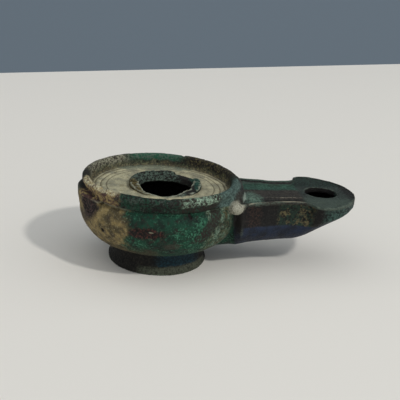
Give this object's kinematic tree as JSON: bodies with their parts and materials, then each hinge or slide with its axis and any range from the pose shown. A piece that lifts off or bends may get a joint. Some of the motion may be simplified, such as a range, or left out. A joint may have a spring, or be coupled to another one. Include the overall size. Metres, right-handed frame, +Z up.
{
  "type": "roman oil lamp",
  "caption": "Cast bronze oil lamp with a round body, sunk top, broken filling hole, ring foot and long nozzle with an eared wick end; its handle is lost.",
  "frame": {"origin": "centre of the turned button under the foot, on the surface that the lamp stands on", "axes": "+Z up, +X along the nozzle towards its tip, -X towards the lost handle"},
  "size_m": [0.1275, 0.0716, 0.0398],
  "materials": {
    "bronze": "buried cast bronze with a rough green, brown and dark patina, worn to pale green on its edges"
  },
  "bodies": {
    "root": {"lamp_body": "bronze"}
  },
  "joints": []
}
